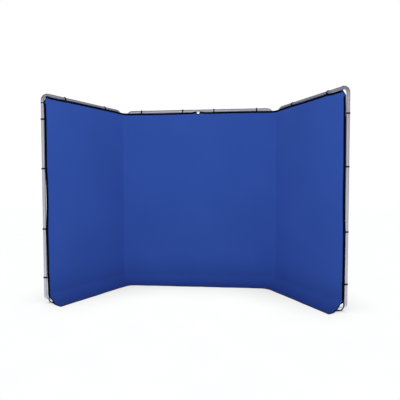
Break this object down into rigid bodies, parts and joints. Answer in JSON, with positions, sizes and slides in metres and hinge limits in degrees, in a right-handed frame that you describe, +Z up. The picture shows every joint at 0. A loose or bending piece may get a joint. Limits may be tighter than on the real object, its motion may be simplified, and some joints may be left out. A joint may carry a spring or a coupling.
{
  "type": "folding partition wall",
  "caption": "Free-standing folding partition wall: hinged frames of bent tube carrying one clipped-on cloth cover that sweeps forward over the floor.",
  "frame": {"origin": "on the floor, in the middle of the centre panel's floor skirt, halfway between the tubes' axes and the skirt's front hem", "axes": "+Z up, -Y forward: the cloth faces -Y and both wings fold towards -Y; +X to the right seen from the front"},
  "size_m": [2.9754, 1.0193, 2.1211],
  "materials": {
    "frame_tube": "satin anodised tube with faint drawing lines",
    "spigot_metal": "bare drawn tube",
    "rivet_metal": "bare",
    "spring_steel": "plated spring steel",
    "pin_steel": "zinc plated",
    "bracket_plastic": "moulded black nylon",
    "clip_plastic": "moulded black nylon",
    "elastic": "ribbed black elastic webbing",
    "cover_cloth": "matt blue knitted polyester",
    "binding": "black elastic binding tape"
  },
  "bodies": {
    "centre_frame": {"centre_upper_left_tube": "frame_tube", "centre_upper_right_tube": "frame_tube", "centre_lower_left_tube": "frame_tube", "centre_lower_right_tube": "frame_tube", "centre_left_middle_tube": "frame_tube", "centre_right_middle_tube": "frame_tube", "centre_spigots": "spigot_metal", "centre_rivets": "rivet_metal", "centre_leaf_springs": "spring_steel", "centre_hinge_brackets": "bracket_plastic", "hinge_pins": "pin_steel", "hinge_pin_rings": "pin_steel", "centre_cover_clips": "clip_plastic", "centre_elastic_tabs": "elastic", "centre_fabric": "cover_cloth", "centre_binding": "binding"},
    "left_wing": {"left_upper_bow_tube": "frame_tube", "left_lower_bow_tube": "frame_tube", "left_outer_middle_tube": "frame_tube", "left_inner_middle_tube": "frame_tube", "left_spigots": "spigot_metal", "left_rivets": "rivet_metal", "left_leaf_springs": "spring_steel", "left_hinge_brackets": "bracket_plastic", "left_cover_clips": "clip_plastic", "left_elastic_tabs": "elastic", "left_fabric": "cover_cloth", "left_binding": "binding"},
    "right_wing": {"right_upper_bow_tube": "frame_tube", "right_lower_bow_tube": "frame_tube", "right_outer_middle_tube": "frame_tube", "right_inner_middle_tube": "frame_tube", "right_spigots": "spigot_metal", "right_rivets": "rivet_metal", "right_leaf_springs": "spring_steel", "right_hinge_brackets": "bracket_plastic", "right_cover_clips": "clip_plastic", "right_elastic_tabs": "elastic", "right_fabric": "cover_cloth", "right_binding": "binding"},
    "button_centre_left_lower_body": {"button_centre_left_lower": "spring_steel"},
    "button_centre_left_upper_body": {"button_centre_left_upper": "spring_steel"},
    "button_centre_right_lower_body": {"button_centre_right_lower": "spring_steel"},
    "button_centre_right_upper_body": {"button_centre_right_upper": "spring_steel"},
    "button_centre_top_rail_body": {"button_centre_top_rail": "spring_steel"},
    "button_centre_bottom_rail_body": {"button_centre_bottom_rail": "spring_steel"},
    "button_left_outer_lower_body": {"button_left_outer_lower": "spring_steel"},
    "button_left_outer_upper_body": {"button_left_outer_upper": "spring_steel"},
    "button_left_inner_lower_body": {"button_left_inner_lower": "spring_steel"},
    "button_left_inner_upper_body": {"button_left_inner_upper": "spring_steel"},
    "button_right_outer_lower_body": {"button_right_outer_lower": "spring_steel"},
    "button_right_outer_upper_body": {"button_right_outer_upper": "spring_steel"},
    "button_right_inner_lower_body": {"button_right_inner_lower": "spring_steel"},
    "button_right_inner_upper_body": {"button_right_inner_upper": "spring_steel"}
  },
  "joints": [
    {"name": "left_wing_fold", "type": "hinge", "parent": "centre_frame", "child": "left_wing", "pos_m": [-0.931, 0.099, 1.057], "axis": [0, 0, 1], "range_deg": [-59.3, 30.7]},
    {"name": "right_wing_fold", "type": "hinge", "parent": "centre_frame", "child": "right_wing", "pos_m": [0.931, 0.099, 1.057], "axis": [0, 0, -1], "range_deg": [-59.3, 30.7]},
    {"name": "press_button_centre_left_lower", "type": "slide", "parent": "centre_frame", "child": "button_centre_left_lower_body", "axis": [0, 1, 0], "range_m": [-0.0045, 0], "stiffness_N_per_m": 300, "springref_m": 0.01},
    {"name": "press_button_centre_left_upper", "type": "slide", "parent": "centre_frame", "child": "button_centre_left_upper_body", "axis": [0, 1, 0], "range_m": [-0.0045, 0], "stiffness_N_per_m": 300, "springref_m": 0.01},
    {"name": "press_button_centre_right_lower", "type": "slide", "parent": "centre_frame", "child": "button_centre_right_lower_body", "axis": [0, 1, 0], "range_m": [-0.0045, 0], "stiffness_N_per_m": 300, "springref_m": 0.01},
    {"name": "press_button_centre_right_upper", "type": "slide", "parent": "centre_frame", "child": "button_centre_right_upper_body", "axis": [0, 1, 0], "range_m": [-0.0045, 0], "stiffness_N_per_m": 300, "springref_m": 0.01},
    {"name": "press_button_centre_top_rail", "type": "slide", "parent": "centre_frame", "child": "button_centre_top_rail_body", "axis": [0, -1, 0], "range_m": [-0.0045, 0], "stiffness_N_per_m": 300, "springref_m": 0.01},
    {"name": "press_button_centre_bottom_rail", "type": "slide", "parent": "centre_frame", "child": "button_centre_bottom_rail_body", "axis": [0, 1, 0], "range_m": [-0.0045, 0], "stiffness_N_per_m": 300, "springref_m": 0.01},
    {"name": "press_button_left_outer_lower", "type": "slide", "parent": "left_wing", "child": "button_left_outer_lower_body", "axis": [0.8599, -0.5105, 0], "range_m": [-0.0045, 0], "stiffness_N_per_m": 300, "springref_m": 0.01},
    {"name": "press_button_left_outer_upper", "type": "slide", "parent": "left_wing", "child": "button_left_outer_upper_body", "axis": [0.8599, -0.5105, 0], "range_m": [-0.0045, 0], "stiffness_N_per_m": 300, "springref_m": 0.01},
    {"name": "press_button_left_inner_lower", "type": "slide", "parent": "left_wing", "child": "button_left_inner_lower_body", "axis": [-0.8599, 0.5105, 0], "range_m": [-0.0045, 0], "stiffness_N_per_m": 300, "springref_m": 0.01},
    {"name": "press_button_left_inner_upper", "type": "slide", "parent": "left_wing", "child": "button_left_inner_upper_body", "axis": [-0.8599, 0.5105, 0], "range_m": [-0.0045, 0], "stiffness_N_per_m": 300, "springref_m": 0.01},
    {"name": "press_button_right_outer_lower", "type": "slide", "parent": "right_wing", "child": "button_right_outer_lower_body", "axis": [-0.8599, -0.5105, 0], "range_m": [-0.0045, 0], "stiffness_N_per_m": 300, "springref_m": 0.01},
    {"name": "press_button_right_outer_upper", "type": "slide", "parent": "right_wing", "child": "button_right_outer_upper_body", "axis": [-0.8599, -0.5105, 0], "range_m": [-0.0045, 0], "stiffness_N_per_m": 300, "springref_m": 0.01},
    {"name": "press_button_right_inner_lower", "type": "slide", "parent": "right_wing", "child": "button_right_inner_lower_body", "axis": [0.8599, 0.5105, 0], "range_m": [-0.0045, 0], "stiffness_N_per_m": 300, "springref_m": 0.01},
    {"name": "press_button_right_inner_upper", "type": "slide", "parent": "right_wing", "child": "button_right_inner_upper_body", "axis": [0.8599, 0.5105, 0], "range_m": [-0.0045, 0], "stiffness_N_per_m": 300, "springref_m": 0.01}
  ]
}
